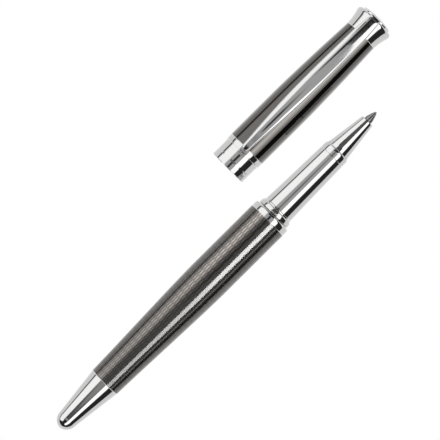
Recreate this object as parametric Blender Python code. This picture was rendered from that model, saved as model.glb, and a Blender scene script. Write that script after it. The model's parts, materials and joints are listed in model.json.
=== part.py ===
"""Rollerball pen lying flat, uncapped, with its cap beside it.

+X runs along the pen towards the writing tip, +Y from the pen towards the cap, +Z up, and
the surface that both lie on is Z = 0. The origin is the centre of the foot of the whole
layout. Lengths along the pen are stations, in millimetres from the tail end; lengths along
the cap are depths, in millimetres from the cap's mouth. Radii are in millimetres.
"""
import math

import bmesh
import bpy
from mathutils import Matrix, Vector

MM = 0.001

# Driving dimensions of the layout.
BARREL_RADIUS = 6.10
CAP_RADIUS = 6.06
CAP_STATION = 84.5        # where the cap's mouth sits, on the pen and beside it
CAP_LENGTH = 59.6
CAP_SIDESTEP = 18.3       # from the pen's axis to the cap's axis
CAP_ROLL_DEG = 3.2        # the clip leans this far from the top, towards +Y

# Driving dimensions of the pen.
PEN_LENGTH = 125.1
TAIL_JOINT = 17.9
COLLAR_STATION = 82.1
GRIP_STATION = 86.4
RING_STATION = 107.45
NOSE_STATION = 109.85
NOSE_FRONT = 121.6
SEAM = 0.1                # gap at the joints that show
WALL = 0.6                # barrel and cap tube
REFILL_RADIUS = 3.0
REFILL_REAR = 15.1
BALL_RADIUS = 0.35
REFILL_GRIP_RADIUS = 2.5  # the plug and the front are pressed this wide into the refill tube

# The thread that holds the front section in the barrel.
THREAD_PITCH = 1.0
THREAD_ROOT = 4.05
THREAD_HEIGHT = 0.30
THREAD_PLAY = 0.14
THREAD_ROWS = 4           # rows of points in each pitch
NEAR = 0.01               # points this close to the thread's wall belong to it

# Sides of the turned pieces.
OUTER_SIDES = 32
INNER_SIDES = 24
SMALL_SIDES = 16
MERGE = 1e-7
ON_AXIS = 1e-9            # radii below this close an outline on its axis
SHARP_DEG = 35            # steeper edges are shaded sharp

LAYOUT_LENGTH = CAP_STATION + CAP_LENGTH
PEN_Y = (BARREL_RADIUS - CAP_SIDESTEP - CAP_RADIUS) / 2
CAP_Y = PEN_Y + CAP_SIDESTEP


def clear_scene():
    for thing in list(bpy.data.objects):
        bpy.data.objects.remove(thing, do_unlink=True)


def make_finish(name, colour, metallic, roughness):
    """A Principled material for one finish."""
    material = bpy.data.materials.new(name)
    material.use_nodes = True
    shader = material.node_tree.nodes["Principled BSDF"]
    shader.inputs["Base Color"].default_value = (*colour, 1.0)
    shader.inputs["Metallic"].default_value = metallic
    shader.inputs["Roughness"].default_value = roughness
    return material


def make_finishes():
    return {
        "chrome": make_finish("chrome", (0.74, 0.74, 0.73), 1.0, 0.06),
        "gunmetal_lacquer": make_finish("gunmetal_lacquer", (0.10, 0.09, 0.08), 0.8, 0.15),
        "brass": make_finish("brass", (0.72, 0.55, 0.28), 1.0, 0.3),
        "black_plastic": make_finish("black_plastic", (0.02, 0.02, 0.02), 0.0, 0.4),
        "refill_plastic": make_finish("refill_plastic", (0.03, 0.05, 0.16), 0.0, 0.3),
        "white_plastic": make_finish("white_plastic", (0.80, 0.80, 0.78), 0.0, 0.4),
        "ink_fibre": make_finish("ink_fibre", (0.03, 0.04, 0.15), 0.0, 0.9),
        "spring_steel": make_finish("spring_steel", (0.60, 0.60, 0.60), 1.0, 0.25),
        "tip_steel": make_finish("tip_steel", (0.62, 0.58, 0.50), 1.0, 0.22),
        "carbide": make_finish("carbide", (0.30, 0.30, 0.32), 1.0, 0.2),
        "seal_rubber": make_finish("seal_rubber", (0.05, 0.05, 0.05), 0.0, 0.8),
    }


def make_axis(name, position, roll_deg=0.0, parent=None):
    """An empty that carries the pieces of one axis."""
    axis = bpy.data.objects.new(name, None)
    axis.location = Vector(position) * MM
    axis.rotation_euler = (math.radians(roll_deg), 0.0, 0.0)
    axis.parent = parent
    bpy.context.collection.objects.link(axis)
    return axis


def put_object(name, shape, axis, finish, smooth=True):
    """Close a bmesh into a named object on its axis."""
    bmesh.ops.remove_doubles(shape, verts=shape.verts, dist=MERGE)
    bmesh.ops.recalc_face_normals(shape, faces=shape.faces)
    mesh = bpy.data.meshes.new(name)
    shape.to_mesh(mesh)
    shape.free()
    if smooth:
        mesh.shade_smooth()
        mesh.set_sharp_from_angle(angle=math.radians(SHARP_DEG))
    mesh.materials.append(finish)
    thing = bpy.data.objects.new(name, mesh)
    thing.parent = axis
    bpy.context.collection.objects.link(thing)
    return thing


def turned_shape(outline, sides):
    """Spin an outline of (station, radius) points about X.

    An outline that starts and ends on the axis stays open there; any other is a closed ring.
    """
    shape = bmesh.new()
    points = [shape.verts.new((x * MM, 0.0, radius * MM)) for x, radius in outline]
    on_axis = max(outline[0][1], outline[-1][1]) < ON_AXIS
    following = points[1:] if on_axis else points[1:] + points[:1]
    edges = [shape.edges.new(pair) for pair in zip(points, following)]
    bmesh.ops.spin(
        shape,
        geom=points + edges,
        cent=(0.0, 0.0, 0.0),
        axis=(1.0, 0.0, 0.0),
        angle=math.tau,
        steps=sides,
        use_duplicate=False,
    )
    bmesh.ops.remove_doubles(shape, verts=shape.verts, dist=MERGE)
    return shape


def turn(name, outline, axis, finish, sides=OUTER_SIDES):
    return put_object(name, turned_shape(outline, sides), axis, finish)


def quarter_round(x_flat, x_end, radius_flat, radius_end, steps):
    """Points of an elliptical corner, from the flat side to the end."""
    points = []
    for step in range(steps + 1):
        angle = math.pi / 2 * step / steps
        x = x_flat + (x_end - x_flat) * math.sin(angle)
        radius = radius_end + (radius_flat - radius_end) * math.cos(angle)
        points.append((x, radius))
    return points


def between(stations, x):
    """Straight-line value at x in a list of (x, value), ordered by x."""
    for (x0, v0), (x1, v1) in zip(stations, stations[1:]):
        if x <= x1:
            return v0 + (v1 - v0) * (x - x0) / (x1 - x0)
    return stations[-1][1]


# ---------------------------------------------------------------- the barrel and its tail

BARREL_TAPER = [
    (TAIL_JOINT + SEAM / 2, 4.80),
    (27.0, 5.08),
    (43.8, 5.70),
    (50.5, 5.93),
    (56.7, BARREL_RADIUS),
    (COLLAR_STATION - SEAM / 2, BARREL_RADIUS),
]
TAIL_CONE_START = (3.4, 2.96)       # where the round end meets the straight cone
TAIL_CONE_JOINT_RADIUS = 4.75
TAIL_BORE_FLOOR = 8.0


def make_barrel(axis, finishes):
    outer = BARREL_TAPER
    inner = [(x, radius - WALL) for x, radius in reversed(outer)]
    turn("barrel_shell", outer + inner, axis, finishes["gunmetal_lacquer"])

    cone_front = TAIL_JOINT - SEAM / 2
    outer = quarter_round(TAIL_CONE_START[0], 0.0, TAIL_CONE_START[1], 0.0, 6)
    outer.reverse()
    outer.append((cone_front, TAIL_CONE_JOINT_RADIUS))
    socket = [(cone_front, 3.85), (13.4, 3.85), (13.3, 2.6), (TAIL_BORE_FLOOR, 2.6)]
    turn("tail_cone", outer + socket + [(TAIL_BORE_FLOOR, 0.0)], axis, finishes["chrome"])

    stud = [
        (13.6, 3.7), (TAIL_JOINT - SEAM, 3.7), (TAIL_JOINT + 0.2, 4.05), (24.0, 4.05),
        (24.0, 3.25), (13.6, 3.25),
    ]
    turn("tail_stud", stud, axis, finishes["brass"], INNER_SIDES)

    collar = [
        (COLLAR_STATION + SEAM / 2, 6.07), (83.45, 6.07), (83.85, 5.98), (84.1, 5.8),
        (84.2, 5.5), (84.2, 4.55), (80.5, 4.55), (80.5, 5.4), (COLLAR_STATION + SEAM / 2, 5.4),
    ]
    turn("barrel_collar", collar, axis, finishes["chrome"])


SPRING_END_GAP = 0.35               # from the wire's centre to the faces it bears on
SPRING_COIL_RADIUS = 1.95
SPRING_WIRE_RADIUS = 0.22
SPRING_TURNS = 6
SPRING_WIRE_SIDES = 6
SPRING_STEPS = 12                   # steps in each turn
SPRING_CLOSED_PITCH = 2.3           # pitch of the closed end turns, in wire radii


def make_spring(axis, finish):
    """The refill spring: a round wire wound about X, with its end turns closed."""
    rear, front = TAIL_BORE_FLOOR + SPRING_END_GAP, REFILL_REAR - SPRING_END_GAP
    coil_radius, wire_radius = SPRING_COIL_RADIUS, SPRING_WIRE_RADIUS
    turns, wire_sides, steps = SPRING_TURNS, SPRING_WIRE_SIDES, SPRING_STEPS
    closed_turn = SPRING_CLOSED_PITCH * wire_radius
    pitch = (front - rear - 2 * closed_turn) / (turns - 2)
    shape = bmesh.new()
    rings = []
    for step in range(turns * steps + 1):
        turned = step / steps
        free_turns = min(max(turned - 1.0, 0.0), turns - 2.0)
        closed_turns = turned - free_turns
        x = rear + free_turns * pitch + closed_turns * closed_turn
        angle = math.tau * turned
        centre = Vector((x, coil_radius * math.cos(angle), coil_radius * math.sin(angle)))
        outward = Vector((0.0, math.cos(angle), math.sin(angle)))
        ring = []
        for side in range(wire_sides):
            around = math.tau * side / wire_sides
            across = Vector((math.cos(around), 0.0, 0.0)) + outward * math.sin(around)
            ring.append(shape.verts.new((centre + across * wire_radius) * MM))
        rings.append(ring)
    for ring, following in zip(rings, rings[1:]):
        for side in range(wire_sides):
            beside = (side + 1) % wire_sides
            shape.faces.new((ring[side], ring[beside], following[beside], following[side]))
    shape.faces.new(rings[0])
    shape.faces.new(rings[-1])
    put_object("refill_spring", shape, axis, finish)


# ------------------------------------------------------------------------- the thread

def cut_thread(shape, crest, root, start, end, run_out):
    """Move the threaded wall's points in or out along a right-handed helix.

    The wall is every point between start and end that is midway from root to crest. Over
    the first and the last turn the helix fades to the run-out radius.
    """
    middle = (crest + root) / 2
    for point in shape.verts:
        x = point.co.x / MM
        radius = math.hypot(point.co.y, point.co.z) / MM
        if not start - NEAR < x < end + NEAR or abs(radius - middle) > NEAR:
            continue
        angle = math.atan2(point.co.z, point.co.y)
        phase = (x / THREAD_PITCH - angle / math.tau) % 1.0
        full = root + (crest - root) * abs(2.0 * phase - 1.0)
        fade = min(1.0, (x - start) / THREAD_PITCH, (end - x) / THREAD_PITCH)
        wanted = run_out + (full - run_out) * max(fade, 0.0)
        point.co.y *= wanted / radius
        point.co.z *= wanted / radius


def thread_rows(start, end, radius):
    count = round((end - start) / THREAD_PITCH * THREAD_ROWS)
    return [(start + (end - start) * row / count, radius) for row in range(count + 1)]


def make_bush(axis, finish):
    """The bush inside the barrel's mouth that carries the female thread."""
    rear, front = 71.5, 80.35
    start, end = 73.5, 80.0
    crest = THREAD_ROOT + THREAD_HEIGHT + THREAD_PLAY
    root = THREAD_ROOT + THREAD_PLAY
    middle = (crest + root) / 2
    bore = thread_rows(start, end, middle)
    outline = [(rear, 5.4), (front, 5.4), (front, 4.55)]
    outline += list(reversed(bore)) + [(start - 0.3, middle), (start - 0.5, 3.8), (rear, 3.8)]
    shape = turned_shape(outline, INNER_SIDES)
    cut_thread(shape, crest, root, start, end, run_out=crest)
    put_object("barrel_bush", shape, axis, finish)


def make_threaded_sleeve(axis, finish):
    """The front section's threaded tail and the spigot that runs on into the grip."""
    rear, front, bore = 75.5, 92.0, 3.5
    start, end = 75.9, 82.9
    crest = THREAD_ROOT + THREAD_HEIGHT
    middle = (crest + THREAD_ROOT) / 2
    thread = thread_rows(start, end, middle)
    outline = [(rear, bore), (rear, 3.9)] + thread
    outline += [(83.2, 4.2), (84.25, 4.2), (84.25, 3.85), (front, 3.85), (front, bore)]
    shape = turned_shape(outline, INNER_SIDES)
    cut_thread(shape, crest, THREAD_ROOT, start, end, run_out=THREAD_ROOT)
    put_object("section_thread", shape, axis, finish)


# ------------------------------------------------------------------------ the front section

GRIP_TAPER = [(GRIP_STATION + 0.05, 4.67), (93.0, 4.43), (99.8, 4.27), (107.35, 4.08)]


def make_section(axis, finishes):
    chrome = finishes["chrome"]
    ring = [
        (84.3, 5.0), (84.4, 5.25), (84.6, 5.32), (85.2, 5.26), (85.7, 5.18), (85.85, 5.08),
        (85.9, 4.82), (GRIP_STATION - SEAM / 2, 4.78), (GRIP_STATION - SEAM / 2, 4.0), (84.3, 4.0),
    ]
    turn("grip_collar", ring, axis, chrome)

    bore = [(107.35, 3.7), (92.4, 3.7), (92.3, 4.0), (GRIP_STATION + 0.05, 4.0)]
    turn("grip_tube", GRIP_TAPER + bore, axis, chrome)

    front_ring = [
        (RING_STATION, 3.66), (RING_STATION, 3.98), (RING_STATION + 0.15, 4.06),
        (109.0, 4.05), (109.45, 3.98), (109.7, 3.85), (109.78, 3.66),
    ]
    turn("grip_front_ring", front_ring, axis, chrome)

    nose = [
        (103.2, 3.56), (109.78, 3.56), (NOSE_STATION, 3.62), (111.0, 3.43), (112.1, 3.28),
        (121.3, 2.03), (NOSE_FRONT, 1.82), (NOSE_FRONT, 1.4), (118.2, 1.45), (117.6, 1.8),
        (110.6, 3.12), (103.2, 3.12),
    ]
    turn("nose_cone", nose, axis, chrome)


def make_liner(axis, finish):
    tube = [(76.0, 3.1), (76.0, 3.38), (102.9, 3.38), (102.9, 3.1)]
    turn("section_liner", tube, axis, finish, INNER_SIDES)


# ------------------------------------------------------------------------------ the refill

def make_refill(axis, finishes):
    outer = REFILL_RADIUS
    plug = [
        (REFILL_REAR, 0.0), (REFILL_REAR, 2.75), (REFILL_REAR + 0.2, 2.95), (15.6, 2.95),
        (15.6, REFILL_GRIP_RADIUS), (17.3, REFILL_GRIP_RADIUS), (17.3, 0.0),
    ]
    turn("refill_plug", plug, axis, finishes["black_plastic"], INNER_SIDES)

    tube = [(15.7, 2.62), (15.7, outer), (104.0, outer), (104.0, 2.62)]
    turn("refill_tube", tube, axis, finishes["refill_plastic"], INNER_SIDES)

    core = [(17.5, 0.0), (17.5, 2.45), (100.2, 2.45), (100.2, 0.0)]
    turn("refill_core", core, axis, finishes["ink_fibre"], SMALL_SIDES)

    front = [
        (100.5, 0.8), (100.5, REFILL_GRIP_RADIUS), (104.1, REFILL_GRIP_RADIUS),
        (104.1, outer - 0.02), (110.2, outer - 0.02),
        (110.4, 2.62), (117.3, 1.62), (117.3, 1.28), (113.1, 1.28), (113.1, 0.8),
    ]
    turn("refill_front", front, axis, finishes["black_plastic"], INNER_SIDES)

    feed = [(100.35, 0.0), (100.35, 0.65), (118.6, 0.65), (118.6, 0.0)]
    turn("refill_feed", feed, axis, finishes["ink_fibre"], SMALL_SIDES)

    tip = [
        (113.2, 0.75), (113.2, 1.18), (121.8, 1.18), (122.1, 1.24), (122.35, 1.2),
        (124.05, 0.68), (124.4, 0.53), (124.65, 0.42), (124.65, 0.38), (124.43, 0.3),
        (124.34, 0.18), (119.0, 0.18), (118.8, 0.75),
    ]
    turn("refill_tip", tip, axis, finishes["tip_steel"], INNER_SIDES)


def make_ball(axis, finish):
    shape = bmesh.new()
    bmesh.ops.create_uvsphere(shape, u_segments=16, v_segments=8, radius=BALL_RADIUS * MM)
    put_object("writing_ball", shape, axis, finish)


# --------------------------------------------------------------------------------- the cap

CAP_TAPER = [(7.6, 6.0), (7.7, CAP_RADIUS), (26.5, CAP_RADIUS), (33.2, 5.90), (40.7, 5.66),
             (47.0, 5.40), (52.55, 5.16)]


def make_cap(axis, finishes):
    chrome = finishes["chrome"]
    inner = [(x, radius - WALL) for x, radius in reversed(CAP_TAPER[2:])]
    tube = CAP_TAPER + inner + [(7.6, CAP_RADIUS - WALL)]
    turn("cap_tube", tube, axis, finishes["gunmetal_lacquer"])

    band = [
        (0.0, 5.42), (0.0, 5.66), (0.08, 5.74), (4.9, 5.74), (5.4, 5.79), (5.8, 5.88),
        (5.8, 5.4), (11.0, 5.4), (11.0, 5.1), (6.0, 5.1), (5.8, 5.26), (1.9, 5.26), (1.8, 5.42),
    ]
    turn("cap_mouth_band", band, axis, chrome)

    trim = [(5.9, 5.46), (5.9, 5.91), (6.3, 5.99), (7.4, 6.01), (7.5, 5.95), (7.5, 5.46)]
    turn("cap_trim_ring", trim, axis, chrome)

    clutch = [(2.1, 5.0), (2.1, 5.18), (4.6, 5.18), (4.6, 4.95), (3.8, 4.86), (2.9, 4.86)]
    turn("cap_clutch_ring", clutch, axis, finishes["spring_steel"], INNER_SIDES)

    liner = [
        (43.6, 0.0), (43.6, 3.95), (28.0, 4.5), (11.2, 4.5), (11.2, 4.88), (28.0, 4.88),
        (44.6, 4.3), (44.6, 0.0),
    ]
    turn("inner_cap", liner, axis, finishes["black_plastic"], INNER_SIDES)

    seal = [(42.3, 0.0), (42.3, 3.6), (43.5, 3.75), (43.5, 0.0)]
    turn("tip_seal", seal, axis, finishes["seal_rubber"], INNER_SIDES)


NUT_BORE = 1.25
NUT_CORNER = 2.9                    # from the axis to the corners of the hexagon
SIXTH = math.radians(60)


def make_crown(axis, finishes):
    chrome = finishes["chrome"]
    crown = [
        (52.65, 5.16), (53.3, 5.20), (54.2, 5.28), (55.0, 5.42), (55.9, 5.61), (56.8, 5.86),
        (57.4, 6.01), (57.75, 6.05), (58.1, 5.97), (58.4, 5.72), (58.4, 1.35), (47.6, 1.35),
        (47.6, 4.42), (52.65, 4.42),
    ]
    turn("cap_crown", crown, axis, chrome)

    disc = [
        (45.9, 0.0), (45.9, 1.15), (58.93, 1.15), (58.93, 4.95), (59.05, 4.85), (59.3, 3.9),
        (59.48, 2.4), (59.57, 1.0), (CAP_LENGTH, 0.0),
    ]
    turn("crown_disc", disc, axis, chrome)

    nut = turned_shape([(46.1, NUT_BORE), (46.1, NUT_CORNER), (47.5, NUT_CORNER), (47.5, NUT_BORE)], 12)
    for point in nut.verts:
        radius = math.hypot(point.co.y, point.co.z)
        angle = math.atan2(point.co.z, point.co.y)
        off_corner = abs(angle - round(angle / SIXTH) * SIXTH)
        if radius > NUT_BORE * MM * 1.5 and off_corner > SIXTH / 4:
            point.co.y *= math.cos(SIXTH / 2)
            point.co.z *= math.cos(SIXTH / 2)
    put_object("crown_nut", nut, axis, finishes["brass"], smooth=False)


# -------------------------------------------------------------------------------- the clip

# Depth from the mouth, then the value there.
CLIP_TOP = [(6.75, 6.50), (7.0, 6.72), (7.4, 6.89), (8.0, 7.00), (9.0, 7.10), (10.0, 7.24),
            (12.5, 7.70), (15.5, 7.93), (20.0, 8.08), (23.2, 8.12), (27.9, 8.06), (32.0, 7.94),
            (37.7, 7.73), (43.0, 7.47), (47.5, 7.22), (52.8, 6.92), (55.8, 6.75), (58.85, 6.58)]
CLIP_HALF_WIDTH = [(6.75, 0.40), (7.0, 0.80), (7.4, 1.10), (8.0, 1.20), (9.7, 1.26), (18.0, 1.82),
                   (24.0, 2.14), (29.0, 2.28), (36.0, 2.33), (40.5, 2.31), (47.0, 2.24),
                   (52.8, 2.13), (58.85, 1.62)]
CLIP_THICKNESS = [(6.75, 0.36), (7.4, 0.70), (8.8, 0.76), (12.5, 0.80), (43.0, 0.70),
                  (52.8, 0.56), (58.85, 0.46)]
CLIP_PIVOT = (58.4, 6.38)           # depth and radius of the neck where the clip flexes


def make_clip(axis, finish):
    """A spring strip whose cross-section is an arc about the cap's own axis."""
    pivot_x, pivot_radius = CLIP_PIVOT
    arc_steps = 4
    shape = bmesh.new()
    rings = []
    for x, top in CLIP_TOP:
        half_width = between(CLIP_HALF_WIDTH, x)
        bottom = top - between(CLIP_THICKNESS, x)
        spread = half_width / top
        angles = [spread * (2 * step / arc_steps - 1) for step in range(arc_steps + 1)]
        ring = [(top * math.sin(angle), top * math.cos(angle)) for angle in angles]
        ring += [(bottom * math.sin(angle), bottom * math.cos(angle)) for angle in reversed(angles)]
        places = [((x - pivot_x) * MM, y * MM, (z - pivot_radius) * MM) for y, z in ring]
        rings.append([shape.verts.new(place) for place in places])
    for ring, following in zip(rings, rings[1:]):
        for side in range(len(ring)):
            beside = (side + 1) % len(ring)
            shape.faces.new((ring[side], ring[beside], following[beside], following[side]))
    shape.faces.new(rings[0])
    shape.faces.new(rings[-1])
    put_object("clip", shape, axis, finish)


WASHER_REAR, WASHER_FRONT = 58.47, 58.86
WASHER_BORE, WASHER_RADIUS = 1.3, 4.7
TAB_FOOT, TAB_TOP = 3.0, 5.92
TAB_WIDTH = 2.8


def make_clip_ring(axis, finish):
    """The washer that is clamped under the crown disc, with the tab that carries the clip."""
    rear, front = WASHER_REAR, WASHER_FRONT
    washer = [(rear, WASHER_BORE), (rear, WASHER_RADIUS), (front, WASHER_RADIUS), (front, WASHER_BORE)]
    ring = turn("clip_ring", washer, axis, finish, INNER_SIDES)
    shape = bmesh.new()
    size = Vector((front - rear, TAB_WIDTH, TAB_TOP - TAB_FOOT)) * MM
    centre = Vector(((rear + front) / 2, 0.0, (TAB_TOP + TAB_FOOT) / 2)) * MM
    bmesh.ops.create_cube(shape, size=1.0, matrix=Matrix.LocRotScale(centre, None, size))
    tab = put_object("clip_ring_tab", shape, axis, finish, smooth=False)
    tab.hide_render = True
    tab.display_type = "WIRE"
    join = ring.modifiers.new("tab", "BOOLEAN")
    join.operation = "UNION"
    join.solver = "EXACT"
    join.object = tab


# ------------------------------------------------------------------------------- assembly

def make_pen():
    finishes = make_finishes()
    tail_x = -LAYOUT_LENGTH / 2
    pen = make_axis("pen_axis", (tail_x, PEN_Y, BARREL_RADIUS))
    make_barrel(pen, finishes)
    make_spring(pen, finishes["spring_steel"])
    make_bush(pen, finishes["brass"])
    make_threaded_sleeve(pen, finishes["brass"])
    make_section(pen, finishes)
    make_liner(pen, finishes["white_plastic"])
    make_refill(pen, finishes)
    ball = make_axis("ball_centre", (PEN_LENGTH - BALL_RADIUS, 0.0, 0.0), parent=pen)
    make_ball(ball, finishes["carbide"])

    cap = make_axis("cap_axis", (tail_x + CAP_STATION, CAP_Y, CAP_RADIUS), -CAP_ROLL_DEG)
    make_cap(cap, finishes)
    make_crown(cap, finishes)
    make_clip_ring(cap, finishes["chrome"])
    neck = make_axis("clip_neck", (CLIP_PIVOT[0], 0.0, CLIP_PIVOT[1]), parent=cap)
    make_clip(neck, finishes["chrome"])


clear_scene()
make_pen()
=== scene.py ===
import json
import math

import bmesh
import bpy
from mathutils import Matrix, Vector

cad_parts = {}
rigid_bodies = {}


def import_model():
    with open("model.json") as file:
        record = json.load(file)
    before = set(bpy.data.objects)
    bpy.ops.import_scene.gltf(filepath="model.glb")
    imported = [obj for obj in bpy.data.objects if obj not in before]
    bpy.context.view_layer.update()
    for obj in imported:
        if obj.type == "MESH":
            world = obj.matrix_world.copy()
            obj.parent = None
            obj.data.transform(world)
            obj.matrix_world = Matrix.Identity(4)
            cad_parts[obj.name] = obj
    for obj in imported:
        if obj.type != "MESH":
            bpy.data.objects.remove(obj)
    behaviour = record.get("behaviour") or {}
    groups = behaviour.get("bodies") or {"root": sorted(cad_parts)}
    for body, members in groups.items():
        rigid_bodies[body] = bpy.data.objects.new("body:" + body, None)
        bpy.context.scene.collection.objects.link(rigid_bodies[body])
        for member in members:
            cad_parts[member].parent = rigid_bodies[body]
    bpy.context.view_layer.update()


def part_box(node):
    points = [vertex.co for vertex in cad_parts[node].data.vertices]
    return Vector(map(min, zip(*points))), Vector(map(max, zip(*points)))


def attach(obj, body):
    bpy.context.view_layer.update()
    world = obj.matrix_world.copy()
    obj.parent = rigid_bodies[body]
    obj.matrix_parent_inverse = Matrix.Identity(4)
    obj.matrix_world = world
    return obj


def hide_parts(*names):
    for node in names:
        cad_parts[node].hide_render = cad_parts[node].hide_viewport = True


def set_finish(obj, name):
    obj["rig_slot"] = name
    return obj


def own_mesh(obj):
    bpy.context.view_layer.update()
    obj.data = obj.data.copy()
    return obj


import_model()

# An uncapped rollerball pen and its cap, side by side on a light table.
# Stations run along the pen from its tail, depths along the cap from its mouth, both in mm.
mm = 0.001
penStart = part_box("tail_cone")[0].x
penMiddle = (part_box("barrel_shell")[0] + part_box("barrel_shell")[1]) / 2
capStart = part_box("cap_mouth_band")[0].x
capMiddle = (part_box("cap_tube")[0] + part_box("cap_tube")[1]) / 2
penAxis = Vector((penStart, penMiddle.y, penMiddle.z))
capAxis = Vector((capStart, capMiddle.y, capMiddle.z))
capRoll = math.radians(3.2)     # the clip leans this far from the top

# small tools


def toEdit():
    bpy.ops.object.mode_set(mode="EDIT")
    bpy.ops.mesh.select_mode(type="VERT")


def toObject():
    bpy.ops.object.mode_set(mode="OBJECT")


def applyAll(piece):
    bpy.context.view_layer.objects.active = piece
    for modifier in list(piece.modifiers):
        bpy.ops.object.modifier_apply(modifier=modifier.name)


def onlySelect(piece):
    bpy.ops.object.select_all(action="DESELECT")
    piece.select_set(True)
    bpy.context.view_layer.objects.active = piece


def smoothRun(points, steps):
    # a soft curve through the points, with even steps between each pair
    run = []
    count = len(points)
    for index in range(count - 1):
        before = points[max(index - 1, 0)]
        start, end = points[index], points[index + 1]
        after = points[min(index + 2, count - 1)]
        length = end[0] - start[0]
        slopeIn = (end[1] - before[1]) / (end[0] - before[0])
        slopeOut = (after[1] - start[1]) / (after[0] - start[0])
        for step in range(steps):
            t = step / steps
            value = (2 * t ** 3 - 3 * t ** 2 + 1) * start[1] + (3 * t ** 2 - 2 * t ** 3) * end[1]
            value += (t ** 3 - 2 * t ** 2 + t) * slopeIn * length
            value += (t ** 3 - t ** 2) * slopeOut * length
            run.append((start[0] + t * length, value))
    run.append(points[-1])
    return run


def valueAt(run, x):
    # straight between the points of a run
    for (x0, v0), (x1, v1) in zip(run, run[1:]):
        if x <= x1:
            return v0 + (v1 - v0) * (x - x0) / (x1 - x0)
    return run[-1][1]


def ellipseRun(xSide, xEnd, radius, steps):
    # a round end, from the axis out to the side
    run = []
    for step in range(steps + 1):
        angle = math.pi / 2 * step / steps
        run.append((xEnd + (xSide - xEnd) * (1 - math.cos(angle)), radius * math.sin(angle)))
    return run


support = {"longSide": 0.5, "fromEnd": 0.07, "spacing": 1.6}


def supportRows(outline):
    # extra rows near the ends of long sides, so that soft shading stays at the edges
    rows = [outline[0]]
    for start, end in zip(outline, outline[1:]):
        length = math.dist(start[:2], end[:2])
        shares = []
        if length > support["longSide"]:
            head = (sum(start[2:]) + support["fromEnd"]) / length
            back = 1 - (sum(end[2:]) + support["fromEnd"]) / length
            steps = max(1, round(length / support["spacing"]))
            shares = [head + (back - head) * step / steps for step in range(steps + 1)]
        for share in shares:
            x = start[0] + (end[0] - start[0]) * share
            rows.append((x, start[1] + (end[1] - start[1]) * share))
        rows.append(end)
    return rows


def drawOutline(name, outline, axis):
    # one point is drawn out corner by corner; a third number in a corner rounds it
    bpy.ops.object.select_all(action="DESELECT")
    outline = supportRows(outline)
    places = [axis + Vector((corner[0], 0, corner[1])) * mm for corner in outline]
    bpy.ops.mesh.primitive_plane_add(size=mm, location=(0, 0, 0))
    piece = bpy.context.object
    piece.name = piece.data.name = name
    toEdit()
    bpy.ops.mesh.select_all(action="SELECT")
    bpy.ops.mesh.merge(type="CENTER")
    bpy.ops.transform.translate(value=places[0])
    for place, following in zip(places, places[1:]):
        bpy.ops.mesh.extrude_vertices_move(TRANSFORM_OT_translate={"value": following - place})
    onAxis = outline[0][1] == 0 and outline[-1][1] == 0
    if not onAxis:
        selectPlaces(piece, [places[0], places[-1]])
        bpy.ops.mesh.edge_face_add()
    for width in sorted({corner[2] for corner in outline if len(corner) > 2}):
        corners = [p for p, corner in zip(places, outline) if len(corner) > 2 and corner[2] == width]
        selectPlaces(piece, corners)
        bpy.ops.mesh.bevel(offset=width * mm, segments=4, affect="VERTICES")
    return piece


def selectPlaces(piece, places):
    bpy.ops.mesh.select_all(action="DESELECT")
    shape = bmesh.from_edit_mesh(piece.data)
    for vert in shape.verts:
        vert.select = any((vert.co - place).length < 0.002 * mm for place in places)
    shape.select_flush_mode()
    bmesh.update_edit_mesh(piece.data)


def turnPiece(name, outline, axis, sides=128):
    piece = drawOutline(name, outline, axis)
    bpy.ops.mesh.select_all(action="SELECT")
    bpy.ops.mesh.spin(steps=sides, angle=math.tau, center=axis, axis=(1, 0, 0))
    bpy.ops.mesh.select_all(action="SELECT")
    bpy.ops.mesh.remove_doubles(threshold=0.001 * mm)
    bpy.ops.mesh.normals_make_consistent(inside=False)
    toObject()
    return piece


def finishPiece(piece, body, material, slotName, *nodes, angle=32):
    onlySelect(piece)
    bpy.ops.object.shade_smooth_by_angle(angle=math.radians(angle))
    piece.data.materials.clear()
    piece.data.materials.append(material)
    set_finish(piece, slotName)
    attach(piece, body)
    if nodes:
        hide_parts(*nodes)
    return piece


# finishes

fadeIn = 0.3        # mm over which an engraving fades in from its plain rim

barrel = {
    "taper": [(17.95, 4.80), (27.0, 5.08), (36.0, 5.42), (43.8, 5.70), (50.5, 5.93), (56.7, 6.07),
              (60.0, 6.10), (82.05, 6.10)],
    "wall": 0.6,
    "boreAt": (57, 36),   # the bore has corners here
    "lacquer": 0.012,     # the metal lies this far under the lacquer's face
    "bed": 0.05,          # the lacquer skin is this thick, so it is bedded in the metal
    "border": 1.15,       # plain rim at each end
    "rows": 92,           # engraved rows round the barrel, an even number
    "cell": 2.1,          # half the length of a cell
    "relief": 0.011,      # depth of the engraving
    "rimRound": 0.01,     # the lacquer's edges
    "samples": 4,         # mesh columns for each cell around the barrel
    "alongSamples": 5,    # mesh rows for each half cell along it
    # the grooves' tone is painted shade, much darker than the ridges' metal
    "ridge": (0.37, 0.335, 0.31), "grooveShade": (0.11, 0.10, 0.09), "rough": (0.24, 0.34),
    "grooveShadeEnds": (-0.15, 0.65),    # the wave's heights where the painted groove shade ends and the ridges' metal tone is full
    "grainDepth": 0.003,
    "lacquerIndex": 1.7, "lacquerTint": (0.28, 0.275, 0.27), "lacquerRough": (0.12, 0.15),
}


def startMaterial(name, roughness, metallic=0.0, baseColor=(0.8, 0.8, 0.8)):
    material = bpy.data.materials.new(name)
    material.use_nodes = True
    shader = material.node_tree.nodes["Principled BSDF"]
    shader.inputs["Base Color"].default_value = (*baseColor, 1)
    shader.inputs["Roughness"].default_value = roughness
    shader.inputs["Metallic"].default_value = metallic
    return material, material.node_tree, shader


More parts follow.
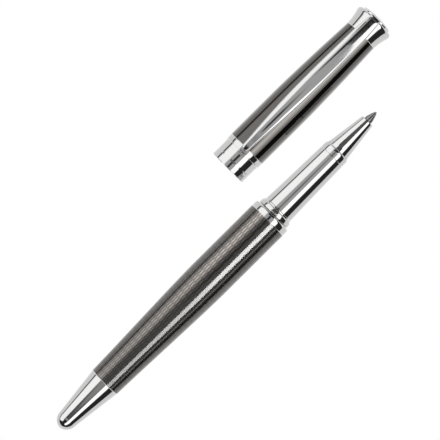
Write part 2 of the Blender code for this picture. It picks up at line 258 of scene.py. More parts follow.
def placedCoords(tree, place, stretch=(1, 1, 1)):
    # object coordinates in millimetres, counted from a place on the piece
    coords = tree.nodes.new("ShaderNodeTexCoord")
    mapping = tree.nodes.new("ShaderNodeMapping")
    mapping.vector_type = "TEXTURE"
    mapping.inputs["Location"].default_value = place
    mapping.inputs["Scale"].default_value = [mm / size for size in stretch]
    tree.links.new(coords.outputs["Object"], mapping.inputs["Vector"])
    return mapping.outputs["Vector"]


def noiseNode(tree, vector, scale, detail=3.0, rough=0.5):
    noise = tree.nodes.new("ShaderNodeTexNoise")
    noise.inputs["Scale"].default_value = scale
    noise.inputs["Detail"].default_value = detail
    noise.inputs["Roughness"].default_value = rough
    tree.links.new(vector, noise.inputs["Vector"])
    return noise.outputs["Fac"]


def rangeNode(tree, value, low, high, fromLow=0.3, fromHigh=0.7):
    node = tree.nodes.new("ShaderNodeMapRange")
    node.inputs["From Min"].default_value = fromLow
    node.inputs["From Max"].default_value = fromHigh
    node.inputs["To Min"].default_value = low
    node.inputs["To Max"].default_value = high
    tree.links.new(value, node.inputs["Value"])
    return node.outputs["Result"]


def mixColors(tree, factor, first, second):
    node = tree.nodes.new("ShaderNodeMix")
    node.data_type = "RGBA"
    tree.links.new(factor, node.inputs["Factor"])
    node.inputs[6].default_value = (*first, 1)
    node.inputs[7].default_value = (*second, 1)
    return node.outputs[2]


def mathNode(tree, operation, first, second=None):
    node = tree.nodes.new("ShaderNodeMath")
    node.operation = operation
    for socket, value in zip(node.inputs, (first, second)):
        if value is None:
            continue
        if isinstance(value, (int, float)):
            socket.default_value = value
        else:
            tree.links.new(value, socket)
    return node.outputs["Value"]


def bumpNode(tree, height, strength, distance):
    bump = tree.nodes.new("ShaderNodeBump")
    bump.inputs["Strength"].default_value = strength
    bump.inputs["Distance"].default_value = distance * mm
    tree.links.new(height, bump.inputs["Height"])
    return bump.outputs["Normal"]


def radialNormal(tree, place):
    # the smooth face of the lacquer, square to the tube's axis
    coords = placedCoords(tree, place)
    split = tree.nodes.new("ShaderNodeSeparateXYZ")
    join = tree.nodes.new("ShaderNodeCombineXYZ")
    normalize = tree.nodes.new("ShaderNodeVectorMath")
    normalize.operation = "NORMALIZE"
    toWorld = tree.nodes.new("ShaderNodeVectorTransform")
    toWorld.vector_type = "NORMAL"
    toWorld.convert_from = "OBJECT"
    toWorld.convert_to = "WORLD"
    tree.links.new(coords, split.inputs[0])
    tree.links.new(split.outputs["Y"], join.inputs["Y"])
    tree.links.new(split.outputs["Z"], join.inputs["Z"])
    tree.links.new(join.outputs[0], normalize.inputs[0])
    tree.links.new(normalize.outputs[0], toWorld.inputs[0])
    return toWorld.outputs[0]


chrome = {
    "tone": (0.585, 0.585, 0.58), "toneWorn": (0.545, 0.545, 0.545),
    "rough": (0.03, 0.07), "smearSize": 0.16, "polishDepth": 0.002,
}


def makeChrome(name, place):
    material, tree, shader = startMaterial(name, 0.04, 1.0)
    coords = placedCoords(tree, place)
    smears = noiseNode(tree, coords, chrome["smearSize"], 4.0, 0.6)
    tone = mixColors(tree, smears, chrome["toneWorn"], chrome["tone"])
    tree.links.new(tone, shader.inputs["Base Color"])
    tree.links.new(rangeNode(tree, smears, *chrome["rough"]), shader.inputs["Roughness"])
    polish = noiseNode(tree, placedCoords(tree, place, (9, 1, 1)), 1.1, 2.0)
    tree.links.new(bumpNode(tree, polish, 0.05, chrome["polishDepth"]), shader.inputs["Normal"])
    return material


gunmetal = {
    "tone": (0.050, 0.043, 0.036), "toneDark": (0.036, 0.031, 0.027),
    "coat": 1.0, "coatIndex": 1.65, "coatRoughness": 0.02,
}


def makeGunmetal(name, place, roughness, grainDepth):
    # finely lined metal under a smooth, clear lacquer
    material, tree, shader = startMaterial(name, roughness, 1.0)
    coords = placedCoords(tree, place)
    cloud = noiseNode(tree, coords, 0.35, 3.0)
    tone = mixColors(tree, cloud, gunmetal["toneDark"], gunmetal["tone"])
    tree.links.new(tone, shader.inputs["Base Color"])
    grain = noiseNode(tree, placedCoords(tree, place, (1, 6, 6)), 3.0, 2.0)
    rough = rangeNode(tree, grain, roughness * 0.8, roughness * 1.25)
    tree.links.new(rough, shader.inputs["Roughness"])
    tree.links.new(bumpNode(tree, grain, 0.15, grainDepth), shader.inputs["Normal"])
    shader.inputs["Coat Weight"].default_value = gunmetal["coat"]
    shader.inputs["Coat IOR"].default_value = gunmetal["coatIndex"]
    shader.inputs["Coat Roughness"].default_value = gunmetal["coatRoughness"]
    tree.links.new(radialNormal(tree, place), shader.inputs["Coat Normal"])
    return material


def grooveShadeMask(tree, place):
    # ridges in the metal's own tone, grooves painted dark as painted shade, in step with the engraving
    split = tree.nodes.new("ShaderNodeSeparateXYZ")
    tree.links.new(placedCoords(tree, place), split.inputs[0])
    angle = mathNode(tree, "ARCTAN2", split.outputs["Z"], split.outputs["Y"])
    around = mathNode(tree, "COSINE", mathNode(tree, "MULTIPLY", angle, barrel["rows"] / 2))
    cells = mathNode(tree, "MULTIPLY", split.outputs["X"], math.pi / barrel["cell"])
    along = mathNode(tree, "COSINE", cells)
    wave = mathNode(tree, "MULTIPLY", around, along)
    return rangeNode(tree, wave, 0, 1, *barrel["grooveShadeEnds"])


def makeEngraved(name, place):
    material, tree, shader = startMaterial(name, barrel["rough"][0], 1.0)
    # the engraving's grooves get painted shade in the base colour
    ridge = grooveShadeMask(tree, place)
    tree.links.new(mixColors(tree, ridge, barrel["grooveShade"], barrel["ridge"]), shader.inputs["Base Color"])
    grain = noiseNode(tree, placedCoords(tree, place, (1, 6, 6)), 3.0, 2.0)
    tree.links.new(rangeNode(tree, grain, *barrel["rough"]), shader.inputs["Roughness"])
    tree.links.new(bumpNode(tree, grain, 0.2, barrel["grainDepth"]), shader.inputs["Normal"])
    return material


def makeLacquer(name, place):
    # tinted and clear, with a soft polish and a few faint wipes
    material = bpy.data.materials.new(name)
    material.use_nodes = True
    tree = material.node_tree
    tree.nodes.remove(tree.nodes["Principled BSDF"])
    clear = tree.nodes.new("ShaderNodeBsdfTransparent")
    clear.inputs["Color"].default_value = (*barrel["lacquerTint"], 1)
    gloss = tree.nodes.new("ShaderNodeBsdfGlossy")
    gloss.inputs["Color"].default_value = (1, 0.985, 0.97, 1)
    wipes = noiseNode(tree, placedCoords(tree, place, (5, 1, 1)), 0.4, 3.0)
    tree.links.new(rangeNode(tree, wipes, *barrel["lacquerRough"]), gloss.inputs["Roughness"])
    tree.links.new(bumpNode(tree, wipes, 0.05, 0.002), gloss.inputs["Normal"])
    share = tree.nodes.new("ShaderNodeFresnel")
    share.inputs["IOR"].default_value = barrel["lacquerIndex"]
    mix = tree.nodes.new("ShaderNodeMixShader")
    tree.links.new(share.outputs[0], mix.inputs["Fac"])
    tree.links.new(clear.outputs[0], mix.inputs[1])
    tree.links.new(gloss.outputs[0], mix.inputs[2])
    tree.links.new(mix.outputs[0], tree.nodes["Material Output"].inputs["Surface"])
    return material


def makeTurnedMetal(name, place, tone, toneDark, roughness):
    # fine rings left by the lathe
    material, tree, shader = startMaterial(name, roughness, 1.0)
    rings = noiseNode(tree, placedCoords(tree, place, (14, 0.4, 0.4)), 1.0, 3.0, 0.6)
    tree.links.new(mixColors(tree, rings, toneDark, tone), shader.inputs["Base Color"])
    rough = rangeNode(tree, rings, roughness * 0.7, roughness * 1.3)
    tree.links.new(rough, shader.inputs["Roughness"])
    tree.links.new(bumpNode(tree, rings, 0.25, 0.006), shader.inputs["Normal"])
    return material


def makeMoulded(name, place, tone, toneDark, roughness, grainSize=2.5, depth=0.01):
    material, tree, shader = startMaterial(name, roughness)
    coords = placedCoords(tree, place)
    grain = noiseNode(tree, coords, grainSize, 4.0, 0.6)
    cloud = noiseNode(tree, coords, 0.3, 2.0)
    tree.links.new(mixColors(tree, cloud, toneDark, tone), shader.inputs["Base Color"])
    rough = rangeNode(tree, grain, roughness * 0.85, roughness * 1.15)
    tree.links.new(rough, shader.inputs["Roughness"])
    tree.links.new(bumpNode(tree, grain, 0.3, depth), shader.inputs["Normal"])
    return material


print("finishes")
penChrome = makeChrome("polished_chrome_pen", penAxis)
capChrome = makeChrome("polished_chrome_cap", capAxis)
barrelMetal = makeEngraved("engine_turned_metal", penAxis)
clearLacquer = makeLacquer("clear_lacquer", penAxis)
capLacquer = makeGunmetal("lined_lacquer", capAxis, 0.09, 0.001)
# painted shade: the sleeve's brass is made dark to stand for the shade in the thin seams where it shows
# beside the chrome collar
seamShadeBrass = makeTurnedMetal("brass_painted_seam_shade", penAxis, (0.16, 0.12, 0.065), (0.10, 0.075, 0.04), 0.4)
brass = makeTurnedMetal("turned_brass", penAxis, (0.76, 0.58, 0.30), (0.62, 0.45, 0.20), 0.28)
tipMetal = makeTurnedMetal("turned_tip_steel", penAxis, (0.25, 0.25, 0.25), (0.17, 0.17, 0.17), 0.2)
wireSteel = makeTurnedMetal("drawn_spring_steel", penAxis, (0.62, 0.62, 0.62), (0.48, 0.48, 0.48), 0.24)
ballMetal = makeTurnedMetal("ground_carbide", penAxis, (0.34, 0.34, 0.36), (0.24, 0.24, 0.26), 0.16)
blackPlastic = makeMoulded("black_moulding", penAxis, (0.022, 0.022, 0.023), (0.014, 0.014, 0.015), 0.38)
bluePlastic = makeMoulded("refill_moulding", penAxis, (0.03, 0.05, 0.16), (0.022, 0.036, 0.12), 0.3)
whitePlastic = makeMoulded("white_moulding", penAxis, (0.80, 0.80, 0.78), (0.74, 0.74, 0.71), 0.4)
inkFibre = makeMoulded("ink_fibre", penAxis, (0.03, 0.04, 0.15), (0.012, 0.016, 0.07), 0.9, 5.0, 0.08)
sealRubber = makeMoulded("seal_rubber", capAxis, (0.05, 0.05, 0.05), (0.03, 0.03, 0.03), 0.8, 4.0, 0.03)

# the barrel

def engraveBarrel(piece, outer):
    # staggered, long cells: a wave round the barrel times a wave along it
    start = outer[0][0] + barrel["border"]
    end = outer[-1][0] - barrel["border"]
    for vert in piece.data.vertices:
        around = vert.co - penAxis
        x = around.x / mm
        radius = math.hypot(around.y, around.z) / mm
        if not start < x < end or radius < valueAt(outer, x) - barrel["wall"] / 2:
            continue
        angle = math.atan2(around.z, around.y)
        wave = math.cos(angle * barrel["rows"] / 2) * math.cos(math.pi * x / barrel["cell"])
        fade = min(1, (x - start) / fadeIn, (end - x) / fadeIn)
        sunk = barrel["relief"] * (0.5 - 0.5 * wave) * fade
        vert.co.y -= around.y / radius * sunk
        vert.co.z -= around.z / radius * sunk


def makeBarrel():
    outer = smoothRun(barrel["taper"], 12)
    step = barrel["cell"] / barrel["alongSamples"]
    first, last = outer[0][0], outer[-1][0]
    count = round((last - first) / step)
    rows = [first + (last - first) * row / count for row in range(count + 1)]
    outline = [(x, valueAt(outer, x) - barrel["lacquer"]) for x in rows]
    outline += [(x, valueAt(outer, x) - barrel["wall"]) for x in (last, *barrel["boreAt"], first)]
    piece = turnPiece("engraved_barrel", outline, penAxis, barrel["rows"] * barrel["samples"])
    engraveBarrel(piece, outer)
    finishPiece(piece, "barrel", barrelMetal, "gunmetal_lacquer", "barrel_shell")
    # the clear lacquer, bedded in the metal
    rimRound = barrel["rimRound"]
    skin = [(*outer[0], rimRound)] + outer[2:-2:2] + [(*outer[-1], rimRound)]
    skin += [(x, radius - barrel["bed"]) for x, radius in reversed(outer[::6])]
    piece = turnPiece("barrel_lacquer", skin, penAxis)
    finishPiece(piece, "barrel", clearLacquer, "gunmetal_lacquer")


print("barrel")
makeBarrel()

tail = {
    "roundEnd": (3.4, 2.96), "front": (17.85, 4.75), "rim": 0.12,
    "socket": [(17.85, 3.85), (13.4, 3.85), (13.3, 2.6), (8.0, 2.6), (8.0, 0)],
}


def makeTail():
    side, radius = tail["roundEnd"]
    outline = ellipseRun(side, 0, radius, 18)
    outline = [(0, 0)] + outline[1:]
    outline.append((*tail["front"], tail["rim"]))
    outline += tail["socket"]
    piece = turnPiece("tail_cone_polished", outline, penAxis)
    return finishPiece(piece, "barrel", penChrome, "chrome", "tail_cone")


collar = {
    "outline": [(82.15, 6.07, 0.08), (83.5, 6.07), (83.95, 5.92), (84.2, 5.55), (84.2, 4.55, 0.1),
                (80.5, 4.55), (80.5, 5.4), (82.15, 5.4)],
}


def makeCollar():
    piece = turnPiece("barrel_collar_polished", collar["outline"], penAxis)
    return finishPiece(piece, "barrel", penChrome, "chrome", "barrel_collar", angle=50)


stud = {
    "outline": [(13.6, 3.7, 0.1), (17.8, 3.7), (18.1, 4.05), (24.0, 4.05, 0.2), (24.0, 3.25), (13.6, 3.25)],
    "sides": 64,
}


def makeStud():
    piece = turnPiece("tail_stud_turned", stud["outline"], penAxis, stud["sides"])
    return finishPiece(piece, "barrel", brass, "brass", "tail_stud")


print("tail and collar")
makeTail()
makeCollar()
makeStud()

# the thread

thread = {
    "pitch": 1.0, "root": 4.05, "height": 0.30, "play": 0.14, "rowsPerTurn": 10, "sides": 96,
    "flats": (2.6, 0.15),    # steepness and height of the flanks, which leave flats on crest and root
    "onSleeve": (75.9, 82.9), "inBush": (73.5, 80.0),
}


def cutThread(piece, start, end, root, crest, runOut):
    middle = (root + crest) / 2
    steepness, flat = thread["flats"]
    for vert in piece.data.vertices:
        around = vert.co - penAxis
        x = around.x / mm
        radius = math.hypot(around.y, around.z) / mm
        if not start - 0.01 < x < end + 0.01 or abs(radius - middle) > 0.01:
            continue
        phase = (x / thread["pitch"] - math.atan2(around.z, around.y) / math.tau) % 1
        wave = min(1, max(0, steepness * abs(phase - 0.5) - flat))
        fade = max(0, min(1, (x - start) / thread["pitch"], (end - x) / thread["pitch"]))
        full = root + (crest - root) * wave
        wanted = runOut + (full - runOut) * fade
        vert.co.y = penAxis.y + around.y * wanted / radius
        vert.co.z = penAxis.z + around.z * wanted / radius


def threadRows(start, end, radius):
    count = round((end - start) / thread["pitch"] * thread["rowsPerTurn"])
    return [(start + (end - start) * row / count, radius) for row in range(count + 1)]


def makeSleeve():
    root, crest = thread["root"], thread["root"] + thread["height"]
    start, end = thread["onSleeve"]
    rows = threadRows(start, end, (root + crest) / 2)
    outline = [(75.5, 3.5), (75.5, 3.9, 0.08)] + rows
    outline += [(83.2, 4.2), (84.25, 4.2), (84.25, 3.85), (92.0, 3.85, 0.1), (92.0, 3.5)]
    piece = turnPiece("threaded_sleeve", outline, penAxis, thread["sides"])
    cutThread(piece, start, end, root, crest, root)
    # its dark brass is painted shade for the seams beside the collar
    return finishPiece(piece, "section", seamShadeBrass, "brass", "section_thread", angle=50)


def makeBush():
    root = thread["root"] + thread["play"]
    crest = root + thread["height"]
    start, end = thread["inBush"]
    rows = threadRows(start, end, (root + crest) / 2)
    outline = [(71.5, 5.4), (80.35, 5.4), (80.35, 4.55)] + list(reversed(rows))
    outline += [(73.2, (root + crest) / 2), (73.0, 3.8), (71.5, 3.8)]
    piece = turnPiece("threaded_bush", outline, penAxis, thread["sides"])
    cutThread(piece, start, end, root, crest, crest)
    return finishPiece(piece, "barrel", brass, "brass", "barrel_bush", angle=50)


print("thread")
makeSleeve()
makeBush()

# the front section

section = {
    "ring": [(84.3, 4.95), (84.38, 5.22), (84.6, 5.32), (84.95, 5.30), (85.6, 5.18), (85.82, 5.08),
             (85.9, 4.84), (86.0, 4.80), (86.35, 4.79, 0.05), (86.35, 4.0), (84.3, 4.0)],
    "gripTaper": [(86.45, 4.67), (89.5, 4.555), (93.0, 4.44), (99.8, 4.27), (107.35, 4.08)],
    "gripBore": [(107.35, 3.7), (92.4, 3.7), (92.3, 4.0), (86.45, 4.0)],
    "frontRing": [(107.45, 3.66), (107.45, 4.06, 0.09), (108.9, 4.055), (109.35, 4.0), (109.62, 3.88),
                  (109.78, 3.66)],
    "nose": [(103.2, 3.56), (109.78, 3.56), (109.85, 3.64), (110.4, 3.53), (111.0, 3.43),
             (111.8, 3.32), (121.35, 2.03), (121.6, 1.86), (121.6, 1.4, 0.04), (118.2, 1.45),
             (117.6, 1.8), (110.6, 3.12), (103.2, 3.12)],
    "liner": [(76.0, 3.1), (76.0, 3.38), (102.9, 3.38), (102.9, 3.1)],
}


def makeSection():
    piece = turnPiece("grip_collar_polished", section["ring"], penAxis)
    finishPiece(piece, "section", penChrome, "chrome", "grip_collar", angle=50)
    taper = smoothRun(section["gripTaper"], 8)
    outline = [(*taper[0], 0.05)] + taper[1:-1] + [(*taper[-1], 0.05)] + section["gripBore"]
    piece = turnPiece("grip_polished", outline, penAxis)
    finishPiece(piece, "section", penChrome, "chrome", "grip_tube")
    piece = turnPiece("front_ring_polished", section["frontRing"], penAxis)
    finishPiece(piece, "section", penChrome, "chrome", "grip_front_ring", angle=50)
    piece = turnPiece("nose_polished", section["nose"], penAxis)
    finishPiece(piece, "section", penChrome, "chrome", "nose_cone", angle=40)
    piece = turnPiece("liner_moulded", section["liner"], penAxis, 64)
    finishPiece(piece, "section_core", whitePlastic, "white_plastic", "section_liner")


print("front section")
makeSection()

# the refill

refill = {
    "plug": [(15.1, 0), (15.1, 2.95, 0.2), (15.6, 2.95), (15.6, 2.5), (17.3, 2.5, 0.1), (17.3, 0)],
    "tube": [(15.7, 2.62), (15.7, 3.0, 0.05), (104.0, 3.0, 0.05), (104.0, 2.62)],
    "core": [(17.5, 0), (17.5, 2.45, 0.1), (100.2, 2.45, 0.1), (100.2, 0)],
    "front": [(100.5, 0.8), (100.5, 2.5), (104.1, 2.5), (104.1, 2.98), (110.2, 2.98, 0.1),
              (110.4, 2.62), (117.3, 1.62, 0.08), (117.3, 1.28), (113.1, 1.28), (113.1, 0.8)],
    "feed": [(100.35, 0), (100.35, 0.65), (118.6, 0.65), (118.6, 0)],
    "tip": [(113.2, 0.75), (113.2, 1.18), (121.75, 1.18), (122.05, 1.23, 0.05), (122.35, 1.21, 0.08),
            (123.1, 0.98), (124.05, 0.68), (124.4, 0.53), (124.65, 0.42, 0.02), (124.65, 0.38),
            (124.43, 0.3), (124.34, 0.18), (119.0, 0.18), (118.8, 0.75)],
    "ball": 0.35, "ballCuts": 11,
}


def makeRefill():
    piece = turnPiece("refill_plug_moulded", refill["plug"], penAxis, 64)
    finishPiece(piece, "refill", blackPlastic, "black_plastic", "refill_plug")
    piece = turnPiece("refill_tube_moulded", refill["tube"], penAxis, 64)
    finishPiece(piece, "refill", bluePlastic, "refill_plastic", "refill_tube")
    piece = turnPiece("ink_core", refill["core"], penAxis, 48)
    finishPiece(piece, "refill", inkFibre, "ink_fibre", "refill_core")
    piece = turnPiece("refill_front_moulded", refill["front"], penAxis, 64)
    finishPiece(piece, "refill", blackPlastic, "black_plastic", "refill_front")
    piece = turnPiece("ink_feed_rod", refill["feed"], penAxis, 32)
    finishPiece(piece, "refill", inkFibre, "ink_fibre", "refill_feed")
    piece = turnPiece("tip_turned", refill["tip"], penAxis, 96)
    finishPiece(piece, "refill", tipMetal, "tip_steel", "refill_tip", angle=40)


def makeBall():
    centre = (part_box("writing_ball")[0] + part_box("writing_ball")[1]) / 2
    bpy.ops.object.select_all(action="DESELECT")
    bpy.ops.mesh.primitive_cube_add(size=2 * refill["ball"] * mm, location=centre)
    piece = bpy.context.object
    piece.name = piece.data.name = "writing_ball_ground"
    toEdit()
    bpy.ops.mesh.select_all(action="SELECT")
    bpy.ops.mesh.subdivide(number_cuts=refill["ballCuts"])
    bpy.ops.transform.tosphere(value=1)
    toObject()
    piece.data.transform(piece.matrix_world)
    piece.matrix_world.identity()
    for vert in piece.data.vertices:
        vert.co = centre + (vert.co - centre).normalized() * refill["ball"] * mm
    return finishPiece(piece, "ball", ballMetal, "carbide", "writing_ball")


spring = {
    "rear": 8.13, "front": 14.95, "coil": 1.95, "wire": 0.22, "turns": 6,
    "stepsPerTurn": 36, "wireSides": 14,
    "press": 1.2,    # how far the refill pushes it in
}


def makeSpring():
    # a wire's round end swept along the helix by a screw
    bpy.ops.object.select_all(action="DESELECT")
    start = penAxis + Vector((spring["rear"] + spring["wire"], 0, spring["coil"])) * mm
    bpy.ops.mesh.primitive_circle_add(vertices=spring["wireSides"], radius=spring["wire"] * mm,
                                      fill_type="NGON", location=start, rotation=(math.pi / 2, 0, 0))
    piece = bpy.context.object
    piece.name = piece.data.name = "refill_spring_wound"
    piece.data.transform(piece.matrix_world)
    piece.matrix_world.identity()
    length = (spring["front"] - spring["rear"] - 2 * spring["wire"]) * mm
    toEdit()
    bpy.ops.mesh.select_all(action="SELECT")
    steps = spring["stepsPerTurn"] * spring["turns"]
    shape = bmesh.from_edit_mesh(piece.data)
    bmesh.ops.spin(shape, geom=list(shape.faces), cent=penAxis, axis=(1, 0, 0),
                   dvec=(length / steps, 0, 0), angle=math.tau * spring["turns"], steps=steps)
    bmesh.update_edit_mesh(piece.data)
    bpy.ops.mesh.select_all(action="SELECT")
    bpy.ops.mesh.normals_make_consistent(inside=False)
    toObject()
    finishPiece(piece, "barrel", wireSteel, "spring_steel", "refill_spring")
    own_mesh(piece)


print("refill")
makeRefill()
makeBall()
makeSpring()

# the cap

cap = {
    "taper": [(7.6, 6.02), (7.75, 6.06), (26.0, 6.06), (33.2, 5.91), (40.7, 5.67), (47.0, 5.41),
              (52.55, 5.16)],
    "bore": [(52.55, 4.56), (47.0, 4.80), (40.7, 5.06), (33.2, 5.30), (26.5, 5.46), (7.6, 5.46)],
    "lines": 76,          # fine lines engraved along the tube
    "lineSamples": 6,     # mesh columns for each line
    "lineDepth": 0.0014,
    "border": 1.15,
    "wall": 0.6,
    "band": [(0, 5.42, 0.04), (0, 5.74, 0.07), (2.02, 5.74), (2.10, 5.68), (2.34, 5.68), (2.42, 5.74),
             (4.9, 5.74), (5.35, 5.78), (5.8, 5.88, 0.04), (5.8, 5.4), (11.0, 5.4, 0.1), (11.0, 5.1),
             (6.0, 5.1), (5.8, 5.26), (1.9, 5.26), (1.8, 5.42)],
    "trim": [(5.9, 5.46), (5.9, 5.91, 0.04), (6.3, 5.985), (6.7, 6.01), (7.5, 6.01, 0.06), (7.5, 5.46)],
    "clutch": [(2.1, 5.0), (2.1, 5.18, 0.05), (4.6, 5.18, 0.05), (4.6, 4.95), (3.8, 4.86), (2.9, 4.86)],
    "liner": [(43.6, 0), (43.6, 3.95), (28.0, 4.5), (11.2, 4.5, 0.1), (11.2, 4.88), (28.0, 4.88),
              (44.6, 4.3, 0.3), (44.6, 0)],
    "seal": [(42.3, 0), (42.3, 3.6, 0.2), (43.5, 3.75), (43.5, 0)],
}


def lineTube(piece):
    outer = smoothRun(cap["taper"][1:], 8)
    start = outer[0][0] + cap["border"]
    end = outer[-1][0] - cap["border"]
    for vert in piece.data.vertices:
        around = vert.co - capAxis
        x = around.x / mm
        radius = math.hypot(around.y, around.z) / mm
        if not start < x < end or radius < valueAt(outer, x) - cap["wall"] / 2:
            continue
        angle = math.atan2(around.z, around.y)
        fade = min(1, (x - start) / fadeIn, (end - x) / fadeIn)
        sunk = cap["lineDepth"] * (0.5 - 0.5 * math.cos(angle * cap["lines"])) * fade
        vert.co.y -= around.y / radius * sunk
        vert.co.z -= around.z / radius * sunk


def makeCap():
    outer = smoothRun(cap["taper"][1:], 8)
    first, last = outer[0][0], outer[-1][0]
    rim = cap["border"]
    inside = [first + rim, first + rim + fadeIn]
    inside += [x for x, radius in outer if first + rim + 2 * fadeIn < x < last - rim - 2 * fadeIn]
    inside += [last - rim - fadeIn, last - rim]
    outline = [cap["taper"][0], outer[0]] + [(x, valueAt(outer, x)) for x in inside]
    outline += [(*outer[-1], 0.05)] + cap["bore"]
    piece = turnPiece("lined_cap_tube", outline, capAxis, cap["lines"] * cap["lineSamples"])
    lineTube(piece)
    finishPiece(piece, "cap", capLacquer, "gunmetal_lacquer", "cap_tube")
    turned = [
        ("mouth_band_polished", "band", capChrome, "chrome", "cap_mouth_band"),
        ("trim_ring_polished", "trim", capChrome, "chrome", "cap_trim_ring"),
        ("clutch_ring_pressed", "clutch", wireSteel, "spring_steel", "cap_clutch_ring"),
        ("inner_cap_moulded", "liner", blackPlastic, "black_plastic", "inner_cap"),
        ("tip_seal_moulded", "seal", sealRubber, "seal_rubber", "tip_seal"),
    ]
    for name, key, material, slotName, node in turned:
        piece = turnPiece(name, cap[key], capAxis)
        finishPiece(piece, "cap", material, slotName, node, angle=40)


print("cap")
makeCap()

# the crown

crown = {
    "flare": [(52.65, 5.16), (53.3, 5.20), (54.2, 5.285), (55.0, 5.42), (55.9, 5.61), (56.8, 5.85),
              (57.3, 5.98)],
    "rim": [(57.5, 6.01), (57.7, 6.0), (57.9, 5.95), (58.08, 5.86), (58.24, 5.74), (58.36, 5.60),
            (58.4, 5.48)],
    "inside": [(58.4, 1.35), (47.6, 1.35), (47.6, 4.42, 0.2), (52.65, 4.42)],
    "disc": [(45.9, 0), (45.9, 1.15, 0.1), (58.93, 1.15), (58.93, 4.98, 0.05), (59.1, 4.75), (59.3, 3.95),
             (59.45, 2.8), (59.55, 1.5), (59.6, 0)],
    "nutAcross": 5.0, "nutRear": 46.1, "nutFront": 47.5, "nutBore": 1.25, "nutEdge": 0.12,
}


def makeCrown():
    outline = smoothRun(crown["flare"], 4) + crown["rim"] + crown["inside"]
    piece = turnPiece("crown_polished", outline, capAxis)
    finishPiece(piece, "cap", capChrome, "chrome", "cap_crown", angle=50)
    piece = turnPiece("crown_disc_polished", crown["disc"], capAxis)
    finishPiece(piece, "cap", capChrome, "chrome", "crown_disc", angle=40)


def makeNut():
    # a hexagon with a bored hole and soft edges
    rear, front = crown["nutRear"] * mm, crown["nutFront"] * mm
    centre = capAxis + Vector(((rear + front) / 2, 0, 0))
    bpy.ops.object.select_all(action="DESELECT")
    bpy.ops.mesh.primitive_cylinder_add(vertices=6, radius=crown["nutAcross"] / math.sqrt(3) * mm,
                                        depth=front - rear, location=centre, rotation=(0, math.pi / 2, 0))
    piece = bpy.context.object
    piece.name = piece.data.name = "crown_nut_turned"
    piece.data.transform(piece.matrix_world)
    piece.matrix_world.identity()
    bevel = piece.modifiers.new("edges", "BEVEL")
    bevel.width, bevel.segments = crown["nutEdge"] * mm, 2
    bpy.ops.mesh.primitive_cylinder_add(vertices=48, radius=crown["nutBore"] * mm, depth=4 * mm,
                                        location=centre, rotation=(0, math.pi / 2, 0))
    drill = bpy.context.object
    bore = piece.modifiers.new("bore", "BOOLEAN")
    bore.operation, bore.solver, bore.object = "DIFFERENCE", "EXACT", drill
    onlySelect(piece)
    applyAll(piece)
    bpy.data.objects.remove(drill)
    return finishPiece(piece, "cap", brass, "brass", "crown_nut")


print("crown")
makeCrown()
makeNut()

# the clip

clip = {
    "top": [(6.75, 6.45), (7.05, 6.64), (7.5, 6.80), (8.0, 6.93), (8.6, 7.05), (9.2, 7.14), (10.0, 7.24),
            (12.5, 7.69), (15.5, 7.92), (20.0, 8.06), (23.2, 8.09), (27.9, 8.04), (32.0, 7.93),
            (37.7, 7.72), (43.0, 7.46), (47.5, 7.21), (52.8, 6.91), (55.8, 6.74), (57.6, 6.64),
            (58.2, 6.57), (58.5, 6.45), (58.7, 6.29), (58.85, 6.12)],
    "halfWidth": [(6.75, 1.20), (8.8, 1.22), (9.7, 1.26), (18.0, 1.82), (24.0, 2.14), (29.0, 2.28),
                  (36.0, 2.33), (40.5, 2.31), (47.0, 2.24), (52.8, 2.13), (58.85, 1.62)],
    "endLength": 1.3, "endLeast": 0.03, "endFullness": 2.2,
    "thickness": [(6.75, 0.28), (7.5, 0.50), (8.8, 0.68), (12.5, 0.80), (43.0, 0.70), (52.8, 0.56),
                  (58.85, 0.46)],
    "crossRadius": [(6.75, 3.0), (12.5, 3.8), (23.7, 5.0), (35.0, 6.4), (46.0, 6.6), (58.85, 6.8)],
    "round": 0.30, "underRadius": 6.3,
    "underRound": 0.25,    # how much of the top's rounding the underside takes
    "edgeLeast": 0.06,     # least thickness at the edges
    "rowsAlong": 200, "rowsAcross": 36,
    "crowding": 1.35,      # rows stand closer together at the free end
    "ringRear": 58.47, "ringFront": 58.86, "ringRadius": 4.7, "ringHole": 1.3, "ringEdge": 0.05,
    "tabHalfWidth": 1.35, "tabFoot": 3.0, "tabTop": 5.9,
}


def clipHalfWidth(run, x):
    start = clip["top"][0][0]
    full = valueAt(run, x)
    if x >= start + clip["endLength"]:
        return full
    fraction = max(clip["endLeast"], (x - start) / clip["endLength"])
    return full * (1 - (1 - fraction) ** clip["endFullness"]) ** 0.5


